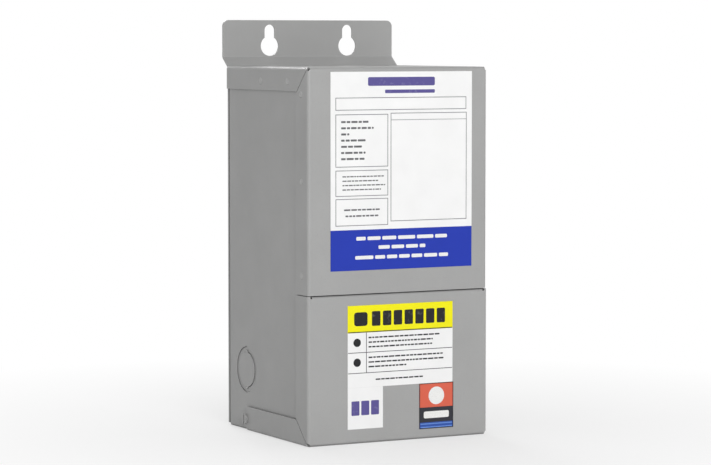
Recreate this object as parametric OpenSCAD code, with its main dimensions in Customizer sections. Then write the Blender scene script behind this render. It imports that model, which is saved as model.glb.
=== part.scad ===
/* [Enclosure] */
// Width over the side flanges of the upper cover
body_w = 127; // [110:1:160]
// Depth from the front face to the back sheet
body_d = 116.5; // [98:0.5:145]
// Height of the box, without the mounting flange
body_h = 233.5; // [200:0.5:285]
// Thickness of every sheet
sheet_t = 1.2; // [0.8:0.1:1.5]
// Outside radius of the bends in the covers
bend_r = 2; // [1.6:0.1:2.4]
// Height of the joint between the upper and the lower cover
seam_z = 93.2; // [80:0.1:110]
// Open gap at the joint between the covers
seam_gap = 0.5; // [0.4:0.1:1.2]

/* [Covers] */
// Depth of the side flanges of both covers
flange_depth = 16; // [12:0.5:20]
// Height of the flaps bent down from the top
top_flap_h = 14.6; // [11:0.1:18]
// Height of the flaps bent up from the bottom
bottom_flap_h = 15.4; // [12:0.1:18]
// Width of the slit at the mitred corners
mitre_gap = 0.5; // [0.3:0.1:0.8]
// Radius of the relief notch where three bends meet
corner_notch_r = 1.2; // [0.8:0.1:1.5]
// Radius of the relief notches at the ends of the lip
lip_notch_r = 0.9; // [0.5:0.1:1.2]
// Depth of the lower cover's lip, bent inward at the joint
lip_depth = 8; // [5:0.5:12]
// Clearance that lets the lower cover slide over the body
cover_clear = 0.4; // [0.2:0.1:0.6]

/* [Mounting flange] */
// Height of the flange above the top of the box
flange_rise = 29.7; // [27:0.1:40]
// Distance that the flange is set back behind the back sheet
flange_offset = 8; // [6:0.5:10]
// Angle of the set-back bend
joggle_angle = 52; // [45:1:60]
// Inside radius of the two set-back bends
joggle_bend_r = 1; // [0.5:0.1:1.5]
// Depth of the first bend below the top of the box
joggle_drop = 1.5; // [1:0.1:2.5]
// Radius of the upper corners of the flange
flange_corner_r = 4; // [2:0.5:6]
// Distance between the two keyholes
keyhole_spacing = 57.15; // [40:0.05:70]
// Radius of the round part of a keyhole
keyhole_r = 6.5; // [5:0.1:7]
// Width of the slot of a keyhole
keyhole_slot_w = 7.4; // [5:0.1:8]
// Height of the keyhole centres above the top of the box
keyhole_rise = 12.9; // [12.5:0.1:15]
// Distance from the keyhole centre up to the slot's end centre
keyhole_slot_run = 10.2; // [8:0.1:12]

/* [Body] */
// Width of the flange bent inward at the rear of each side
rear_return = 12; // [8:0.5:16]
// Height of the potted block's underside above the joint
core_lift = 6; // [4:0.5:20]

/* [Knockouts] */
// Radius of the inner knockout slug
slug_r = 11.1; // [8:0.1:12.5]
// Outside radius of the knockout ring
ring_r = 14.3; // [13.5:0.1:15.5]
// Depth to which the ring is pressed in behind the face of the side sheet
ring_set_in = 0.6; // [0:0.1:0.9]
// Width of the sheared gap around slug and ring
shear_gap = 0.4; // [0.2:0.05:0.6]
// Width of the tabs that hold slug and ring
tab_w = 3; // [2:0.1:4]
// Distance of the knockout centre behind the middle of the side
knockout_y = 31; // [20:0.5:36]
// Height of the knockout centre
knockout_z = 39; // [34:0.5:50]

/* [Cover screws] */
// Distance of the screws behind the middle of the side
screw_y = 29.5; // [24:0.5:36]
// Height of the screws
screw_z = 7.2; // [6:0.1:8]
// Radius of the screw head
screw_head_r = 3.4; // [3:0.1:4]
// Height of the screw head
screw_head_h = 1.4; // [1:0.1:3]
// Radius of the screw shank
screw_shank_r = 1.9; // [1.5:0.1:2.2]
// Length of the shank inside the body
screw_reach = 6; // [3:0.5:10]
// Clearance around the screw shank
screw_clear = 0.3; // [0.2:0.05:0.5]
// Width of the screwdriver slot
screw_slot_w = 0.9; // [0.6:0.1:1.2]
// Depth of the screwdriver slot
screw_slot_d = 0.7; // [0.4:0.1:0.9]

/* [Labels] */
// Thickness of every label
label_t = 0.2; // [0.1:0.05:0.4]
// Width of the rating label
rating_w = 100.2; // [80:0.1:105]
// Height of the rating label with its band
rating_h = 122.8; // [100:0.1:125]
// Height of the coloured band at the foot of the rating label
rating_band_h = 25.2; // [15:0.1:35]
// Distance of the rating label below the top of the box
rating_drop = 2.7; // [2.5:0.1:8]
// Sideways offset of the rating label's centre
rating_x = 2.3; // [-4:0.1:4]
// Width of the information label
info_w = 74.7; // [60:0.1:90]
// Height of the information label's header
info_header_h = 17; // [12:0.1:20]
// Height of the information label's table
info_table_h = 34.1; // [25:0.1:36]
// Distance of the information label below the joint
info_drop = 7; // [4:0.1:8]
// Sideways offset of the information label's centre
info_x = 1.2; // [-6:0.1:6]
// Width of the code label
code_w = 24.8; // [18:0.1:30]
// Height of the code label
code_h = 25.9; // [18:0.1:27]
// Width of the badge sticker
badge_w = 24.5; // [18:0.1:30]
// Height of the badge sticker's upper field
badge_field_h = 15.3; // [10:0.1:17]
// Height of the badge sticker's dark band
badge_band_h = 9.5; // [5:0.1:10]
// Height of the badge sticker's foot
badge_foot_h = 4; // [2:0.1:4]
// Distance that the badge sticker runs past the information label's edge
badge_overhang = 0.6; // [0:0.1:2]

/* [Hidden] */
$fn = 48;

// The front and the rear face of the box
front_y = -body_d / 2;
rear_y = body_d / 2;
// Outer faces of the body's side sheets, which the covers' flanges lie on
side_x = body_w / 2 - sheet_t;
// Inner faces of the body's side sheets
inner_x = side_x - sheet_t;
// Front face of the back sheet
back_y = rear_y - sheet_t;
// Edges of the body's sheets, set back to where the inside of the covers' bends ends
body_front_y = front_y + bend_r;
body_top_z = body_h - bend_r;
// Lower edge of the back sheet, just above the bottom panel
back_low_z = sheet_t + cover_clear;
// Width and front face of the lower cover, which slides over the body
lower_w = body_w + 2 * cover_clear;
lower_front_y = front_y - cover_clear;
// Lowest point of the upper cover
upper_low_z = seam_z + seam_gap / 2;
// Highest point of the lower cover
lower_top_z = seam_z - seam_gap / 2;
// Clearance that keeps the potted block's edge off the bend between front and top
core_clear = (bend_r - sheet_t) / 2;
// Underside, top and front of the potted block
core_low_z = upper_low_z + core_lift;
core_top_z = body_h - sheet_t - core_clear;
core_front_y = front_y + sheet_t + core_clear;
// Half width of the lip at the joint, which ends short of the side bends
lip_half_w = body_w / 2 - bend_r - lip_notch_r;
// Front face and top of the mounting flange, and height of its keyholes
flange_y = back_y + flange_offset;
flange_top_z = body_h + flange_rise;
keyhole_z = body_h + keyhole_rise;
// Middle radius of the two set-back bends, and length of the slant between them
joggle_mid_r = joggle_bend_r + sheet_t / 2;
slant_l = (flange_offset - 2 * joggle_mid_r * (1 - cos(joggle_angle))) / sin(joggle_angle);
// Centres of the two set-back bends, in depth and height
low_bend = [rear_y + joggle_bend_r, body_h - joggle_drop];
high_bend = [
    flange_y - joggle_bend_r,
    low_bend[1] + 2 * joggle_mid_r * sin(joggle_angle) + slant_l * cos(joggle_angle)
];
// Straight pieces that stand for one set-back bend
arc_steps = 16;
// Upper edges of the labels
rating_top_z = body_h - rating_drop;
info_top_z = seam_z - info_drop;
info_low_z = info_top_z - info_header_h - info_table_h;
// Middle of the badge sticker
badge_x = info_x + info_w / 2 + badge_overhang - badge_w / 2;
// Reach of the knockout tabs past their disc, across the sheared gap into their notches
tab_reach = 2 * shear_gap;
// Reach of the cutting tools past the sheet that they cut
past = 1;
// Inside and outside radius of the side sheets' rear bends
side_bend_in = 0.8;
side_bend_r = sheet_t + side_bend_in;
// Rear end of the lower cover's flaps, which the screw heads cover
flap_end_y = screw_y - screw_shank_r / 2;
// Depth of the cutting tools that go through one sheet
through_t = 3 * sheet_t;
GREY = [0.64, 0.64, 0.63];

// Square with its two lower corners rounded, standing on the x axis
module soft_square(w, h, r) {
    union() {
        translate([-w / 2, r]) square([w, h - r]);
        translate([-w / 2 + r, 0]) square([w - 2 * r, h]);
        for (side = [-1, 1])
            translate([side * (w / 2 - r), r]) circle(r = r);
    }
}

// Block standing on z = 0 with its front at y = 0; its lower and front edges are rounded
module soft_block(w, d, h, r) {
    intersection() {
        linear_extrude(h) soft_square(w, d, r);
        translate([0, d, 0]) rotate([90, 0, 0]) linear_extrude(d) soft_square(w, h, r);
        translate([-w / 2, 0, 0]) rotate([90, 0, 90]) linear_extrude(w) quarter_soft_square(d, h, r);
    }
}

// Square in the first quadrant with only the corner at the origin rounded
module quarter_soft_square(w, h, r) {
    union() {
        translate([0, r]) square([w, h - r]);
        translate([r, 0]) square([w - r, h]);
        translate([r, r]) circle(r = r);
    }
}

// Section of a quarter bend around the origin, in the second quadrant
module bend_section(r_out) {
    intersection() {
        difference() {
            circle(r = r_out);
            circle(r = r_out - sheet_t);
        }
        translate([-r_out, 0]) square([r_out, r_out]);
    }
}

// Slit between a side flange and a flap, along their 45 degree mitre
module mitre_slit() {
    rotate([45, 0, 0])
        translate([-bend_r, 0, -mitre_gap / 2])
        cube([2 * bend_r, 2 * flange_depth, mitre_gap]);
}

// One bent sheet: a cap at z = 0 and a front at y = 0, with side flanges and flaps mitred at their
// corners
module cover(w, depth, height, flap_h) {
    difference() {
        soft_block(w, depth, height, bend_r);
        translate([0, sheet_t, sheet_t])
            soft_block(w - 2 * sheet_t, depth, height, bend_r - sheet_t);
        // open behind the side flanges and beyond the flaps
        translate([-w / 2 - past, flange_depth, flap_h])
            cube([w + 2 * past, depth, height]);
        // mitres and relief notches of the corners
        for (side = [-1, 1])
            translate([side * w / 2, 0, 0]) {
                mitre_slit();
                translate([0, corner_notch_r, corner_notch_r])
                    rotate([0, 90, 0])
                    cylinder(r = corner_notch_r, h = 2 * bend_r, center = true);
            }
    }
}

// Room in a front at y = 0 for a lip along its free edge, with the relief notches at the lip's ends
module lip_room(height) {
    translate([-lip_half_w, -past, height - bend_r])
        cube([2 * lip_half_w, sheet_t + 2 * past, bend_r + past]);
    for (side = [-1, 1])
        translate([side * (lip_half_w + lip_notch_r / 2), 0, height - lip_notch_r / 2])
            rotate([90, 0, 0])
            cylinder(r = lip_notch_r, h = through_t, center = true);
}

// Lip bent inward along the free edge of a front at y = 0
module lip(height) {
    translate([-lip_half_w, bend_r, height - bend_r])
        rotate([90, 0, 90]) linear_extrude(2 * lip_half_w) bend_section(bend_r);
    translate([-lip_half_w, bend_r, height - sheet_t])
        cube([2 * lip_half_w, lip_depth - bend_r, sheet_t]);
}

// Front and top panel in one sheet, with side flanges and flaps outside the body's sides
module upper_cover() {
    color(GREY)
        translate([0, front_y, body_h])
        mirror([0, 0, 1])
        cover(body_w, body_d - sheet_t, body_h - upper_low_z, top_flap_h);
}

// Removable front and bottom panel of the wiring compartment, hooked on the two screws
module lower_cover() {
    color(GREY)
        union() {
            difference() {
                translate([0, lower_front_y, 0])
                    cover(lower_w, rear_y - lower_front_y, lower_top_z, bottom_flap_h);
                translate([0, lower_front_y, 0]) lip_room(lower_top_z);
                for (side = [0, 1])
                    mirror([side, 0, 0]) {
                        // the flaps end at the screws, and the bottom behind them lies between
                        // the side sheets
                        translate([inner_x - cover_clear, flap_end_y, -past])
                            cube([4 * bend_r, body_d, body_h]);
                        // half-round hook around the screw shank
                        translate([lower_w / 2, screw_y, screw_z])
                            rotate([0, 90, 0])
                            cylinder(r = screw_shank_r + screw_clear, h = 4 * bend_r, center = true);
                    }
            }
            translate([0, lower_front_y, 0]) lip(lower_top_z);
        }
}

// Points of an arc from one direction to another
function arc(centre, r, from, to) = [
    for (i = [0:arc_steps])
        let (a = from + (to - from) * i / arc_steps)
        centre + r * [cos(a), sin(a)]
];

// Section of the back sheet and its set-back flange, drawn in depth and height
module back_section() {
    polygon(concat(
        [[back_y, back_low_z]],
        arc(low_bend, joggle_bend_r + sheet_t, 180, 180 - joggle_angle),
        arc(high_bend, joggle_bend_r, -joggle_angle, 0),
        [[flange_y, flange_top_z], [flange_y + sheet_t, flange_top_z]],
        arc(high_bend, joggle_bend_r + sheet_t, 0, -joggle_angle),
        arc(low_bend, joggle_bend_r, 180 - joggle_angle, 180),
        [[back_y + sheet_t, back_low_z]]
    ));
}

// Cutting tool for one keyhole, with the slot running up from the round part
module keyhole_tool() {
    rotate([-90, 0, 0]) {
        cylinder(r = keyhole_r, h = through_t, center = true);
        translate([0, -keyhole_slot_run, 0])
            cylinder(r = keyhole_slot_w / 2, h = through_t, center = true);
    }
    translate([-keyhole_slot_w / 2, -through_t / 2, 0])
        cube([keyhole_slot_w, through_t, keyhole_slot_run]);
}

// Cutting tool that rounds one upper corner of the flange, seen towards its right end
module corner_tool() {
    difference() {
        cube([flange_corner_r + past, through_t, flange_corner_r + past]);
        rotate([-90, 0, 0])
            cylinder(r = flange_corner_r, h = through_t);
    }
}

// Back sheet, which runs on upward as the mounting flange
module back_panel() {
    color(GREY)
        difference() {
            translate([-side_x, 0, 0])
                rotate([90, 0, 90]) linear_extrude(2 * side_x) back_section();
            for (side = [-1, 1])
                translate([side * keyhole_spacing / 2, flange_y + sheet_t / 2, keyhole_z])
                    keyhole_tool();
            translate([side_x - flange_corner_r, flange_y - sheet_t, flange_top_z - flange_corner_r])
                corner_tool();
            mirror([1, 0, 0])
                translate([side_x - flange_corner_r, flange_y - sheet_t, flange_top_z - flange_corner_r])
                corner_tool();
        }
}

// Plan of the right side sheet with its rear edge bent inward
module side_plan() {
    union() {
        translate([inner_x, body_front_y])
            square([sheet_t, back_y - side_bend_r - body_front_y]);
        translate([side_x - rear_return, back_y - sheet_t])
            square([rear_return - side_bend_r, sheet_t]);
        translate([side_x - side_bend_r, back_y - side_bend_r])
            rotate(-90) bend_section(side_bend_r);
    }
}

// Side sheet of the body on the right, with the holes for the knockout and the cover screw
module side_sheet() {
    difference() {
        translate([0, 0, sheet_t])
            linear_extrude(body_top_z - sheet_t) side_plan();
        // room for the bend of the lower cover's flap
        translate([inner_x - past, body_front_y - past, 0])
            cube([sheet_t + 2 * past, flap_end_y + cover_clear - body_front_y + past, bend_r]);
        translate([inner_x - past, knockout_y, knockout_z])
            rotate([0, 90, 0])
            cylinder(r = ring_r + shear_gap, h = sheet_t + 2 * past);
        knockout_tabs(ring_r);
        translate([inner_x - past, screw_y, screw_z])
            rotate([0, 90, 0])
            cylinder(r = screw_shank_r + screw_clear, h = sheet_t + 2 * past);
    }
}

// Two tabs that stand out from a disc of the radius r, above and below, and root in it
module knockout_tabs(r) {
    for (up = [-1, 1])
        translate([inner_x, knockout_y - tab_w / 2, knockout_z + up * r - tab_reach])
            cube([sheet_t, tab_w, 2 * tab_reach]);
}

// Disc of the side sheet around the knockout centre
module knockout_disc(r) {
    translate([inner_x, knockout_y, knockout_z])
        rotate([0, 90, 0])
        cylinder(r = r, h = sheet_t);
}

// Ring that is left between the slug and the side sheet
module knockout_ring() {
    translate([-ring_set_in, 0, 0]) difference() {
        union() {
            knockout_disc(ring_r);
            knockout_tabs(ring_r);
        }
        translate([inner_x - past, knockout_y, knockout_z])
            rotate([0, 90, 0])
            cylinder(r = slug_r + shear_gap, h = sheet_t + 2 * past);
        knockout_tabs(slug_r);
    }
}

// Round slug in the middle of the knockout
module knockout_slug() {
    knockout_disc(slug_r);
    knockout_tabs(slug_r);
}

// Slotted pan-head screw that holds the lower cover's flap on the right
module cover_screw() {
    head_x = lower_w / 2;
    difference() {
        translate([head_x, screw_y, screw_z])
            rotate([0, 90, 0])
            cylinder(r = screw_head_r, h = screw_head_h);
        translate([head_x + screw_head_h - screw_slot_d, screw_y, screw_z - screw_head_r])
            translate([0, -screw_slot_w / 2, -past])
            cube([screw_slot_d + past, screw_slot_w, 2 * (screw_head_r + past)]);
    }
    translate([head_x - screw_reach, screw_y, screw_z])
        rotate([0, 90, 0])
        cylinder(r = screw_shank_r, h = screw_reach);
}

// Encapsulated core and coils, which fill the body above the wiring compartment
module potted_core() {
    color([0.16, 0.16, 0.17])
        translate([-inner_x, core_front_y, core_low_z])
        cube([2 * inner_x, back_y - side_bend_r - core_front_y, core_top_z - core_low_z]);
}

// Flat label on a front face, placed by the middle of its upper edge
module label(face_y, x, top, w, h) {
    translate([x - w / 2, face_y - label_t, top - h]) cube([w, label_t, h]);
}

module rating_label() {
    color("white")
        label(front_y, rating_x, rating_top_z, rating_w, rating_h - rating_band_h);
}

module rating_label_band() {
    color([0.17, 0.28, 0.71])
        label(front_y, rating_x, rating_top_z - rating_h + rating_band_h, rating_w, rating_band_h);
}

module info_label_header() {
    color([0.98, 0.92, 0.05])
        label(lower_front_y, info_x, info_top_z, info_w, info_header_h);
}

module info_label_table() {
    color("white")
        label(lower_front_y, info_x, info_top_z - info_header_h, info_w, info_table_h);
}

module code_label() {
    color("white")
        label(lower_front_y, info_x - (info_w - code_w) / 2, info_low_z, code_w, code_h);
}

module badge_field() {
    color([0.88, 0.42, 0.33])
        label(lower_front_y, badge_x, info_low_z, badge_w, badge_field_h);
}

module badge_band() {
    color([0.23, 0.23, 0.26])
        label(lower_front_y, badge_x, info_low_z - badge_field_h, badge_w, badge_band_h);
}

module badge_foot() {
    color([0.2, 0.33, 0.65])
        label(lower_front_y, badge_x, info_low_z - badge_field_h - badge_band_h,
            badge_w, badge_foot_h);
}

back_panel();
color(GREY) mirror([1, 0, 0]) side_sheet();  // left_side
color(GREY) side_sheet();  // right_side
upper_cover();
lower_cover();
potted_core();
color(GREY) mirror([1, 0, 0]) knockout_ring();  // knockout_ring_left
color(GREY) mirror([1, 0, 0]) knockout_slug();  // knockout_slug_left
color(GREY) knockout_ring();  // knockout_ring_right
color(GREY) knockout_slug();  // knockout_slug_right
color("silver") mirror([1, 0, 0]) cover_screw();  // cover_screw_left
color("silver") cover_screw();  // cover_screw_right
rating_label();
rating_label_band();
info_label_header();
info_label_table();
code_label();
badge_field();
badge_band();
badge_foot();
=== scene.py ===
"""Looks of the wall-mounted transformer: finishes, printed labels, weld marks, light and camera."""
import math
import random

import bmesh
import bpy
from mathutils import Euler, Matrix, Vector


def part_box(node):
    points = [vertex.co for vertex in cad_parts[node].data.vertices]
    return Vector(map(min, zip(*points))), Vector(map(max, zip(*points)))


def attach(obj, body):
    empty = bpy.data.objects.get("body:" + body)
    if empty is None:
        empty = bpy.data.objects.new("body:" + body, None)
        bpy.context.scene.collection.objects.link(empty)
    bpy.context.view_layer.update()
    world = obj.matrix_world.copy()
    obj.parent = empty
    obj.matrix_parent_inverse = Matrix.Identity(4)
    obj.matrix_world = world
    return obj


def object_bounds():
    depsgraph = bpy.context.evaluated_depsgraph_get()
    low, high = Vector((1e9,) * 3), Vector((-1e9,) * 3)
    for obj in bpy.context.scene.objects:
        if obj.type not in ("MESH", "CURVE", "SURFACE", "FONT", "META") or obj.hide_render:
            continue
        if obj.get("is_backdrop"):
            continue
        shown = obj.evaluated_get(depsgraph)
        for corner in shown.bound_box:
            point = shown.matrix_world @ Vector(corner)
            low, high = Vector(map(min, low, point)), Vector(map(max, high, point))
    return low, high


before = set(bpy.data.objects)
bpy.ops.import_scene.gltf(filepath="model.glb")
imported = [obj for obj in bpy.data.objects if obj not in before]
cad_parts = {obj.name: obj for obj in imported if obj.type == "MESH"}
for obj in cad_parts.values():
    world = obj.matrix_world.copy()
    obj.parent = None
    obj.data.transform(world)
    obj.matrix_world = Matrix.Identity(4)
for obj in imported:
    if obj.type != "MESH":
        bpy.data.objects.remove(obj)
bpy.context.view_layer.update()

MM = 0.001

# Finishes, as linear colours
COAT = (0.347, 0.347, 0.344)
RESIN = (0.03, 0.03, 0.031)
WHITE = (0.87, 0.87, 0.868)
BLUE = (0.014, 0.038, 0.40)
YELLOW = (0.88, 0.82, 0.006)
ORANGE = (0.68, 0.125, 0.075)
DARK = (0.03, 0.03, 0.04)
FOOT_BLUE = (0.03, 0.085, 0.36)
BLACK_INK = (0.012, 0.012, 0.014)
GREY_INK = (0.13, 0.13, 0.135)
RULE_INK = (0.2, 0.2, 0.21)
VIOLET_INK = (0.10, 0.085, 0.27)
PALE_INK = (0.8, 0.8, 0.79)
STRIPE_INK = (0.12, 0.24, 0.62)
STEEL = (0.42, 0.41, 0.39)

# Relief of the surfaces
PEEL_SIZE = 1.3 * MM
PEEL_HEIGHT = 0.035 * MM
WAVE_SIZE = 55 * MM
WAVE_HEIGHT = 0.22 * MM
GRIT_SIZE = 0.5 * MM
BLOTCH_SIZE = 38 * MM
EDGE_REACH = 0.7 * MM
INK_T = 0.04 * MM
CORNER_STEPS = 4

# View of the camera
VIEW_AZIMUTH = math.radians(-27.9)
VIEW_ELEVATION = math.radians(3.96)
VIEW_DISTANCE = 1.788
VIEW_LENS = 141.1
AIM_RIGHT = 0.4 * MM
AIM_UP = 10.3 * MM


class Finish:
    """A material's node tree, with short calls that add nodes and join them."""

    def __init__(self, name):
        self.material = bpy.data.materials.new(name)
        self.material.use_nodes = True
        self.tree = self.material.node_tree
        self.shader = self.tree.nodes["Principled BSDF"]
        self.place = self.node("TexCoord").outputs["Object"]

    def node(self, kind, inputs=None, **settings):
        made = self.tree.nodes.new("ShaderNode" + kind)
        for key, value in settings.items():
            setattr(made, key, value)
        for socket, value in (inputs or {}).items():
            self.put(made, socket, value)
        return made

    def put(self, node, socket, value):
        if isinstance(value, bpy.types.NodeSocket):
            self.tree.links.new(value, node.inputs[socket])
        else:
            node.inputs[socket].default_value = value

    def noise(self, size, detail=2.0, stretch=(1, 1, 1)):
        """Noise whose features are about size metres across, from 0 to 1."""
        scale = [1 / (size * k) for k in stretch]
        spot = self.node("Mapping", {"Vector": self.place, "Scale": scale}).outputs[0]
        return self.node("TexNoise", {"Vector": spot, "Scale": 1.0, "Detail": detail}).outputs["Fac"]

    def span(self, value, low, high, to_low=0.0, to_high=1.0):
        """The value from low to high, as a number from to_low to to_high."""
        return self.node("MapRange", {
            "Value": value, "From Min": low, "From Max": high, "To Min": to_low, "To Max": to_high,
        }).outputs["Result"]

    def math(self, operation, a, b):
        return self.node("Math", {0: a, 1: b}, operation=operation).outputs[0]

    def blend(self, share, a, b):
        """Colour a where share is 0, and b where it is 1."""
        mix = self.node("Mix", {0: share}, data_type="RGBA")
        for socket, colour in ((6, a), (7, b)):
            self.put(mix, socket, colour if isinstance(colour, bpy.types.NodeSocket) else (*colour, 1))
        return mix.outputs[2]

    def edges(self, reach):
        """1 on edges that stand out or lie in, 0 on flat ground."""
        round_normal = self.node("Bevel", {"Radius": reach}, samples=6).outputs["Normal"]
        true_normal = self.node("NewGeometry").outputs["Normal"]
        dot = self.node("VectorMath", {0: round_normal, 1: true_normal}, operation="DOT_PRODUCT")
        return self.span(dot.outputs["Value"], 0.985, 0.80)

    def shelter(self, distance):
        """1 in the open, 0 in narrow gaps and corners."""
        return self.node("AmbientOcclusion", {"Distance": distance}, samples=6).outputs["AO"]

    def relief(self, height, depth, strength=1.0, normal=None):
        """Normal of a surface whose height value of 1 stands depth metres up."""
        bump = self.node("Bump", {"Height": height, "Distance": depth, "Strength": strength})
        if normal:
            self.put(bump, "Normal", normal)
        return bump.outputs["Normal"]

    def done(self, colour, roughness, normal=None, **numbers):
        self.put(self.shader, "Base Color", colour)
        self.put(self.shader, "Roughness", roughness)
        if normal:
            self.put(self.shader, "Normal", normal)
        for socket, value in numbers.items():
            self.put(self.shader, socket.replace("_", " "), value)
        return self.material


def shade(colour, share):
    """The colour made lighter or darker by a share of itself."""
    return tuple(max(0.0, c * (1 + share)) for c in colour)


def powder_coat():
    """Grey powder coat: orange peel, faint blotches, rubbed edges with a painted highlight, and painted
    shade in gaps and corners.
    """
    f = Finish("grey_powder_coat")
    blotch = f.span(f.noise(BLOTCH_SIZE, 4), 0.3, 0.7)
    colour = f.blend(blotch, shade(COAT, -0.035), shade(COAT, 0.03))
    grit = f.span(f.noise(GRIT_SIZE, 1), 0.62, 0.72)
    colour = f.blend(f.math("MULTIPLY", grit, 0.35), colour, shade(COAT, -0.22))
    streak = f.span(f.noise(9 * MM, 5, (0.5, 0.5, 3)), 0.62, 0.75)
    colour = f.blend(f.math("MULTIPLY", streak, 0.25), colour, shade(COAT, 0.12))
    # painted shade: the coat darkened where little ambient light reaches, in narrow gaps, joints and
    # corners
    gap = f.span(f.shelter(2.5 * MM), 0.7, 0.25)
    colour = f.blend(f.math("MULTIPLY", gap, 0.7), colour, shade(COAT, -0.7))
    # rubbed edges and painted highlight: every edge made lighter, more where the wear noise is high
    broken = f.span(f.noise(3 * MM, 4), 0.42, 0.6)
    rub_and_edge_highlight = f.math("MULTIPLY", f.edges(EDGE_REACH), f.math("ADD", 0.25, f.math("MULTIPLY", broken, 0.4)))
    colour = f.blend(rub_and_edge_highlight, colour, shade(COAT, 0.45))
    roughness = f.span(f.noise(14 * MM, 3), 0.3, 0.7, 0.4, 0.5)
    waves = f.relief(f.noise(WAVE_SIZE, 1), WAVE_HEIGHT)
    normal = f.relief(f.noise(PEEL_SIZE, 2), PEEL_HEIGHT, normal=waves)
    return f.done(colour, roughness, normal)


def vinyl(name, tone):
    """Printed film: slight mottle of the ink, a dulled rim, and the coat's peel showing through."""
    f = Finish(name)
    mottle = f.span(f.noise(16 * MM, 4), 0.3, 0.7)
    colour = f.blend(mottle, shade(tone, -0.03), shade(tone, 0.01))
    dot = f.span(f.noise(0.35 * MM, 1), 0.6, 0.75)
    colour = f.blend(f.math("MULTIPLY", dot, 0.12), colour, shade(tone, -0.25))
    colour = f.blend(f.math("MULTIPLY", f.edges(0.3 * MM), 0.35), colour, shade(tone, -0.35))
    roughness = f.span(f.noise(9 * MM, 3), 0.3, 0.7, 0.34, 0.44)
    normal = f.relief(f.noise(PEEL_SIZE * 1.6, 2), PEEL_HEIGHT * 0.6)
    return f.done(colour, roughness, normal, Specular_IOR_Level=0.25)


def ink(name, tone):
    """Printed ink: speckled by the print, with thin spots."""
    f = Finish(name)
    speck = f.span(f.noise(0.3 * MM, 2), 0.35, 0.65)
    colour = f.blend(speck, shade(tone, -0.08), shade(tone, 0.12))
    thin = f.span(f.noise(2.5 * MM, 3), 0.6, 0.8)
    colour = f.blend(f.math("MULTIPLY", thin, 0.1), colour, WHITE)
    roughness = f.span(f.noise(4 * MM, 2), 0.3, 0.7, 0.42, 0.55)
    return f.done(colour, roughness, f.relief(f.noise(0.4 * MM, 2), 0.01 * MM),
                  Specular_IOR_Level=0.25)


def resin():
    """Cast resin filled with sand: dark, matte and grainy."""
    f = Finish("potting_resin")
    grain = f.noise(0.9 * MM, 3)
    colour = f.blend(f.span(grain, 0.55, 0.75), RESIN, shade(RESIN, 2.5))
    flow = f.span(f.noise(30 * MM, 3), 0.35, 0.65)
    colour = f.blend(f.math("MULTIPLY", flow, 0.4), colour, shade(RESIN, 0.8))
    normal = f.relief(grain, 0.2 * MM, normal=f.relief(flow, 0.8 * MM))
    return f.done(colour, f.span(grain, 0.3, 0.7, 0.7, 0.9), normal)


def painted_screw():
    """Painted steel screw: paint worn off the rim and the edges of the slot, and painted shade in the
    slot.
    """
    f = Finish("painted_screw")
    broken = f.span(f.noise(0.8 * MM, 3), 0.35, 0.6)
    worn = f.math("MULTIPLY", f.edges(0.35 * MM), broken)
    mottle = f.span(f.noise(1.5 * MM, 3), 0.35, 0.65)
    paint = f.blend(mottle, shade(COAT, -0.12), shade(COAT, 0.1))
    # painted shade: the paint darkened in the slot and round the head, where little ambient light reaches
    gap = f.span(f.shelter(1.5 * MM), 0.8, 0.3)
    paint = f.blend(f.math("MULTIPLY", gap, 0.7), paint, shade(COAT, -0.8))
    colour = f.blend(worn, paint, STEEL)
    f.put(f.shader, "Metallic", worn)
    return f.done(colour, f.span(worn, 0, 1, 0.45, 0.32), f.relief(f.noise(0.5 * MM, 2), 0.02 * MM))


def paint_nodes():
    """Gives every CAD node its finish."""
    coat, screw, white = powder_coat(), painted_screw(), vinyl("label_white", WHITE)
    finishes = {
        "potted_core": resin(),
        "cover_screw_left": screw,
        "cover_screw_right": screw,
        "rating_label": white,
        "info_label_table": white,
        "code_label": white,
        "rating_label_band": vinyl("label_blue", BLUE),
        "info_label_header": vinyl("label_yellow", YELLOW),
        "badge_field": vinyl("sticker_orange", ORANGE),
        "badge_band": vinyl("sticker_dark", DARK),
        "badge_foot": vinyl("sticker_blue", FOOT_BLUE),
    }
    for name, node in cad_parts.items():
        node.data.materials.clear()
        node.data.materials.append(finishes.get(name, coat))
    return coat


def soften(names, width, steps=2):
    """Breaks the cut edges of sheet parts, which are sharp only in the drawing."""
    for name in names:
        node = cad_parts[name]
        weld = node.modifiers.new("weld", "WELD")
        weld.merge_threshold = 0.002 * MM
        bevel = node.modifiers.new("soft_edge", "BEVEL")
        bevel.width = width
        bevel.segments = steps
        bevel.limit_method = "ANGLE"
        bevel.angle_limit = math.radians(40)
        bevel.use_clamp_overlap = True
        bevel.harden_normals = True


def piece_from(mesh_builder, name, finish):
    """A piece of the object from a finished bmesh."""
    bmesh.ops.recalc_face_normals(mesh_builder, faces=mesh_builder.faces)
    mesh = bpy.data.meshes.new(name)
    mesh_builder.to_mesh(mesh)
    mesh_builder.free()
    mesh.materials.append(finish)
    piece = bpy.data.objects.new(name, mesh)
    bpy.context.scene.collection.objects.link(piece)
    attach(piece, "root")
    return piece


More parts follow.
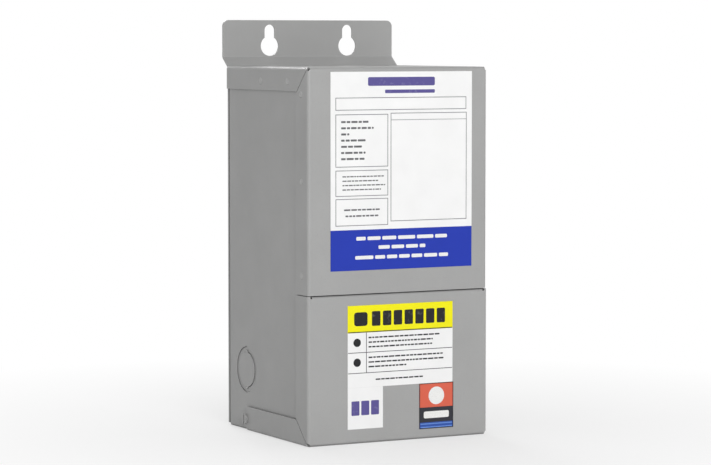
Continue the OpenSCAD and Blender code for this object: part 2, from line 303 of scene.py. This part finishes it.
class Print:
    """Ink pads on a label. Places are in millimetres right of and below its upper left corner."""

    def __init__(self, node):
        low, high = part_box(node)
        self.left, self.top, self.face = low.x, high.z, low.y
        self.width = (high.x - low.x) / MM
        self.height = (high.z - low.z) / MM
        self.mesh = bmesh.new()

    def outline(self, points):
        """A pad with this outline."""
        rings = []
        for y in (self.face, self.face - INK_T):
            rings.append([
                self.mesh.verts.new((self.left + x * MM, y, self.top - z * MM)) for x, z in points
            ])
        self.mesh.faces.new(rings[0])
        self.mesh.faces.new(rings[1])
        for i in range(len(points)):
            j = (i + 1) % len(points)
            self.mesh.faces.new((rings[0][i], rings[0][j], rings[1][j], rings[1][i]))

    def pad(self, x, z, w, h, r=0.2):
        """A bar with round corners, by its upper left corner."""
        r = min(r, w / 2, h / 2)
        corners = ((x + w - r, z + h - r), (x + r, z + h - r), (x + r, z + r), (x + w - r, z + r))
        points = []
        for quarter, (cx, cz) in enumerate(corners):
            for step in range(CORNER_STEPS + 1):
                a = math.radians(90 * (quarter + step / CORNER_STEPS))
                points.append((cx + r * math.cos(a), cz + r * math.sin(a)))
        self.outline(points)

    def disc(self, x, z, r, steps=40):
        turns = [2 * math.pi * i / steps for i in range(steps)]
        self.outline([(x + r * math.cos(a), z + r * math.sin(a)) for a in turns])

    def box(self, x, z, w, h, line=0.45):
        """Four rules around a field."""
        self.pad(x, z, w, line, 0)
        self.pad(x, z + h - line, w, line, 0)
        self.pad(x, z + line, line, h - 2 * line, 0)
        self.pad(x + w - line, z + line, line, h - 2 * line, 0)

    def dashes(self, x, z, length, h, shortest, longest, gap, draw):
        """A row of dashes of uneven length, from x and centred on z."""
        end = x + length
        while x < end - shortest / 2:
            w = min(draw.uniform(shortest, longest), end - x)
            self.pad(x, z - h / 2, w, h, h * 0.3)
            x += w + gap

    def done(self, name, finish, slot):
        return piece_from(self.mesh, name, finish)


def ragged(sheet, x, first, pitch, lengths, h, draw):
    """Lines of small dashes that start at the same x."""
    for row, length in enumerate(lengths):
        sheet.dashes(x, first + row * pitch, length, h, 1.6 * h, 4.5 * h, 0.55 * h, draw)


def centred(sheet, first, pitch, lengths, h, middle, draw):
    """Lines of small dashes around the same middle."""
    for row, length in enumerate(lengths):
        sheet.dashes(middle - length / 2, first + row * pitch, length, h, 1.6 * h, 4.5 * h, 0.55 * h, draw)


def rating_print(draw):
    """Boxes and small print of the rating label, and two coloured bars above them."""
    rules = Print("rating_label")
    rules.box(3.4, 15.9, 92.7, 7.9)
    rules.box(3.4, 26.2, 36.8, 32.6)
    rules.box(3.4, 60.7, 36.8, 16.1)
    rules.box(3.4, 78.3, 36.8, 16.8)
    rules.box(42.0, 25.6, 54.4, 67.4)
    rules.pad(42.4, 29.8, 53.6, 0.35, 0)
    rules.done("rating_rules", ink("ink_rules", RULE_INK), "sticker_dark")

    lines = Print("rating_label")
    ragged(lines, 7.3, 30.9, 3.8, (20.6, 22.7, 5.7, 17.0, 15.6, 17.0, 16.3), 1.25, draw)
    ragged(lines, 8.2, 64.6, 2.7, (29.0, 25.0, 30.0, 27.0), 0.75, draw)
    centred(lines, 85.2, 3.8, (25.0, 23.0), 1.0, 21.8, draw)
    lines.done("rating_small_print", ink("ink_grey", GREY_INK), "sticker_dark")

    heading = Print("rating_label")
    heading.pad(26.0, 3.4, 47.4, 5.4, 1.0)
    heading.pad(38.0, 11.2, 35.4, 2.2, 0.6)
    heading.done("rating_heading", ink("ink_violet", VIOLET_INK), "sticker_blue")


def band_print(finish, draw):
    """Three centred pale lines on the blue band."""
    band = Print("rating_label_band")
    for z, length in ((5.5, 64.5), (11.2, 33.3), (17.3, 66.0)):
        band.dashes((band.width - length) / 2, z, length, 2.2, 6.0, 13.0, 1.3, draw)
    band.done("rating_band_lines", finish, "label_white")


def info_print(black, draw):
    """A plain bar on the information label's header and the ruled table under it."""
    header = Print("info_label_header")
    header.pad(4.5, 4.2, 9.4, 8.6, 1.8)
    for column in range(7):
        header.pad(17.0 + 7.7 * column, 3.9, 6.0, 9.2, 0.8)
    header.pad(0.3, header.height - 0.7, header.width - 0.6, 0.6, 0)
    header.done("info_heading", black, "sticker_dark")

    table = Print("info_label_table")
    table.pad(0.3, 12.15, table.width - 0.6, 0.4, 0)
    table.pad(0.3, 24.9, table.width - 0.6, 0.4, 0)
    table.pad(12.9, 0, 0.4, 24.9, 0)
    for z in (6.1, 18.5):
        table.disc(6.6, z, 2.6)
    ragged(table, 14.6, 3.2, 2.9, (50.6, 45.8, 45.3), 0.9, draw)
    ragged(table, 14.6, 15.6, 2.9, (53.0, 53.5, 26.8), 0.9, draw)
    centred(table, 29.5, 0, (34.0,), 0.85, 36.6, draw)
    table.done("info_table_print", black, "sticker_dark")


def code_print(finish):
    """Three plain blocks on the small square label, where the photo has large characters."""
    code = Print("code_label")
    for column in range(3):
        code.pad(2.6 + 6.9 * column, 8.4, 5.6, 9.0, 0.6)
    code.done("code_bars", finish, "sticker_blue")


def badge_print(pale, black):
    """A plain disc, a bar and two stripes on the badge sticker, inside a dark border."""
    field = Print("badge_field")
    field.disc(field.width / 2, field.height / 2 + 0.4, 5.6)
    field.done("badge_disc", pale, "label_white")

    band = Print("badge_band")
    band.pad(3.2, 2.6, band.width - 6.4, band.height - 5.2, 1.0)
    band.done("badge_bar", pale, "label_white")

    foot = Print("badge_foot")
    foot.pad(0.9, 0.6, foot.width - 1.8, 0.7, 0)
    foot.pad(0.9, foot.height - 1.3, foot.width - 1.8, 0.7, 0)
    foot.done("badge_stripes", ink("ink_stripe", STRIPE_INK), "sticker_blue")

    rim = Print("badge_field")
    whole = field_stack_height()
    rim.box(0, 0, rim.width, whole, 0.5)
    rim.done("badge_border", black, "sticker_dark")


def field_stack_height():
    """Height of the badge sticker's three fields together, in millimetres."""
    return (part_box("badge_field")[1].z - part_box("badge_foot")[0].z) / MM


def weld_mark(mesh, centre, side, r=2.3 * MM, rise=0.1 * MM, steps=28, rings=6):
    """A shallow coated spot weld on a side sheet, sunk a little in its middle."""
    loops = []
    for ring in range(1, rings + 1):
        t = ring / rings
        out = rise * math.sin(math.pi * (0.28 + t * 0.72)) ** 1.5 if ring < rings else 0.0
        loops.append([
            mesh.verts.new((
                centre.x + side * out,
                centre.y + t * r * math.cos(2 * math.pi * i / steps),
                centre.z + t * r * math.sin(2 * math.pi * i / steps),
            ))
            for i in range(steps)
        ])
    mesh.faces.new(loops[0])
    for inner, outer in zip(loops, loops[1:]):
        for i in range(steps):
            j = (i + 1) % steps
            mesh.faces.new((inner[i], inner[j], outer[j], outer[i]))
    mesh.faces.new(loops[-1])


def weld_marks(coat):
    """Spot welds that hold the upper cover's flaps and flanges to the body, on both sides."""
    low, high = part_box("upper_cover")
    front, top = low.y, high.z
    places = (
        (front + 27.7 * MM, top - 8.7 * MM),
        (front + 65.2 * MM, top - 8.9 * MM),
        (front + 9.2 * MM, top - 16.4 * MM),
        (front + 8.6 * MM, top - 70 * MM),
        (front + 8.6 * MM, top - 128 * MM),
    )
    for side, name in ((-1, "weld_marks_left"), (1, "weld_marks_right")):
        mesh = bmesh.new()
        face = low.x if side < 0 else high.x
        for y, z in places:
            weld_mark(mesh, Vector((face, y, z)), side)
        piece = piece_from(mesh, name, coat)
        for polygon in piece.data.polygons:
            polygon.use_smooth = True


def nick(mesh, centre, side, r=0.95 * MM, rise=0.35 * MM, steps=14, rings=4):
    """A small bead where a knockout's tab is nicked into its neighbour."""
    top = mesh.verts.new((centre.x + side * rise, centre.y, centre.z))
    loops = []
    for ring in range(1, rings + 1):
        t = math.radians(90 * ring / rings)
        loops.append([
            mesh.verts.new((
                centre.x + side * rise * math.cos(t),
                centre.y + r * math.sin(t) * math.cos(2 * math.pi * i / steps),
                centre.z + r * math.sin(t) * math.sin(2 * math.pi * i / steps),
            ))
            for i in range(steps)
        ])
    for i in range(steps):
        mesh.faces.new((top, loops[0][i], loops[0][(i + 1) % steps]))
    for inner, outer in zip(loops, loops[1:]):
        for i in range(steps):
            j = (i + 1) % steps
            mesh.faces.new((inner[i], inner[j], outer[j], outer[i]))
    mesh.faces.new(loops[-1])


def knockout_nicks(finish):
    """Beads above and below each knockout's slug, where the tabs hold it."""
    for side, hand in ((-1, "left"), (1, "right")):
        mesh = bmesh.new()
        low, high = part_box("knockout_slug_" + hand)
        face = low.x if side < 0 else high.x
        for z in (low.z, high.z):
            nick(mesh, Vector((face, (low.y + high.y) / 2, z)), side)
        piece = piece_from(mesh, "knockout_nicks_" + hand, finish)
        for polygon in piece.data.polygons:
            polygon.use_smooth = True


def floor_finish():
    """Pale floor that turns into the white surround away from the object and keeps its shadow."""
    f = Finish("floor")
    distance = f.node("VectorMath", {0: f.place}, operation="LENGTH").outputs["Value"]
    grain = f.span(f.noise(60 * MM, 3), 0.3, 0.7)
    colour = f.blend(grain, (0.86, 0.86, 0.86), (0.88, 0.88, 0.88))
    f.done(colour, 0.7)
    light = f.node("LightPath")
    seen = f.math("MAXIMUM", light.outputs["Is Camera Ray"], light.outputs["Is Glossy Ray"])
    seen = f.math("MAXIMUM", seen, light.outputs["Is Transmission Ray"])
    glow = f.node("Emission", {"Color": (1, 1, 1, 1), "Strength": 1.0}).outputs[0]
    share = f.math("MULTIPLY", seen, f.span(distance, 0.08, 0.42, 0.55, 1.0))
    mix = f.node("MixShader", {0: share, 1: f.shader.outputs[0], 2: glow}).outputs[0]
    out = f.tree.nodes["Material Output"]
    f.tree.links.new(mix, out.inputs["Surface"])
    return f.material


def floor():
    """A wide floor at the object's underside."""
    size = 40.0
    mesh = bmesh.new()
    corners = ((-size, -size), (size, -size), (size, size), (-size, size))
    mesh.faces.new([mesh.verts.new((x, y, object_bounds()[0].z)) for x, y in corners])
    data = bpy.data.meshes.new("floor")
    mesh.to_mesh(data)
    mesh.free()
    data.materials.append(floor_finish())
    piece = bpy.data.objects.new("floor", data)
    bpy.context.scene.collection.objects.link(piece)
    piece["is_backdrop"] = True


def surround():
    """Even soft light from all round, a little less from overhead, behind a white background."""
    world = bpy.data.worlds.new("surround")
    bpy.context.scene.world = world
    world.use_nodes = True
    tree = world.node_tree
    tree.nodes.clear()

    def node(kind, **settings):
        made = tree.nodes.new("ShaderNode" + kind)
        for key, value in settings.items():
            setattr(made, key, value)
        return made

    light = node("LightPath")
    seen = light.outputs["Is Camera Ray"]
    for ray in ("Is Glossy Ray", "Is Transmission Ray"):
        either = node("Math", operation="MAXIMUM")
        tree.links.new(seen, either.inputs[0])
        tree.links.new(light.outputs[ray], either.inputs[1])
        seen = either.outputs[0]
    room = node("Background")
    room.inputs["Strength"].default_value = AMBIENT
    white = node("Background")
    white.inputs["Color"].default_value = (1, 1, 1, 1)
    white.inputs["Strength"].default_value = 1.0
    mix, out = node("MixShader"), node("OutputWorld")
    tree.links.new(seen, mix.inputs[0])
    tree.links.new(room.outputs[0], mix.inputs[1])
    tree.links.new(white.outputs[0], mix.inputs[2])
    tree.links.new(mix.outputs[0], out.inputs["Surface"])

    # less light from straight overhead than from the sides
    place = node("TexCoord").outputs["Generated"]
    split = node("SeparateXYZ")
    tree.links.new(place, split.inputs[0])
    ramp = node("MapRange")
    tree.links.new(split.outputs["Z"], ramp.inputs["Value"])
    for socket, value in (("From Min", 0.1), ("From Max", 1.0), ("To Min", 1.0), ("To Max", OVERHEAD)):
        ramp.inputs[socket].default_value = value
    tree.links.new(ramp.outputs["Result"], room.inputs["Color"])


AMBIENT = 0.57
OVERHEAD = 0.5


def lamp(name, azimuth, elevation, distance, size, power):
    """A square soft box that looks at the middle of the object."""
    a, e = math.radians(azimuth), math.radians(elevation)
    back = Vector((math.sin(a) * math.cos(e), -math.cos(a) * math.cos(e), math.sin(e)))
    data = bpy.data.lights.new(name, "AREA")
    data.shape = "SQUARE"
    data.size = size
    data.energy = power
    soft_box = bpy.data.objects.new(name, data)
    soft_box.location = middle() + back * distance
    soft_box.rotation_mode = "QUATERNION"
    soft_box.rotation_quaternion = (-back).to_track_quat("-Z", "Y")
    bpy.context.scene.collection.objects.link(soft_box)


def lights():
    lamp("key", azimuth=-12, elevation=20, distance=2.2, size=1.1, power=26)
    lamp("rim", azimuth=176, elevation=30, distance=1.8, size=0.7, power=10)


def middle():
    """Centre of the box, without the flange above it."""
    low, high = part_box("upper_cover")
    return Vector((0, 0, high.z / 2))


def camera():
    """The camera at the picture's viewing angle."""
    sin_a, cos_a = math.sin(VIEW_AZIMUTH), math.cos(VIEW_AZIMUTH)
    sin_e, cos_e = math.sin(VIEW_ELEVATION), math.cos(VIEW_ELEVATION)
    back = Vector((sin_a * cos_e, -cos_a * cos_e, sin_e))
    right = Vector((cos_a, sin_a, 0))
    up = back.cross(right)
    data = bpy.data.cameras.new("camera")
    data.lens = VIEW_LENS
    data.clip_start, data.clip_end = 0.05, 100
    eye = bpy.data.objects.new("camera", data)
    turn = Matrix((right, up, back)).transposed()
    place = middle() + back * VIEW_DISTANCE + right * AIM_RIGHT + up * AIM_UP
    eye.matrix_world = Matrix.Translation(place) @ turn.to_4x4()
    bpy.context.scene.collection.objects.link(eye)
    bpy.context.scene.camera = eye


def labels():
    """Everything printed on the labels: plain bars and rules in place of words and marks."""
    draw = random.Random(7)
    black, pale = ink("ink_black", BLACK_INK), ink("ink_pale", PALE_INK)
    rating_print(draw)
    band_print(pale, draw)
    info_print(black, draw)
    code_print(bpy.data.materials["ink_violet"])
    badge_print(pale, black)


bpy.context.scene.view_settings.view_transform = "Standard"
camera()
coat = paint_nodes()
labels()
weld_marks(coat)
knockout_nicks(coat)
floor()
surround()
lights()
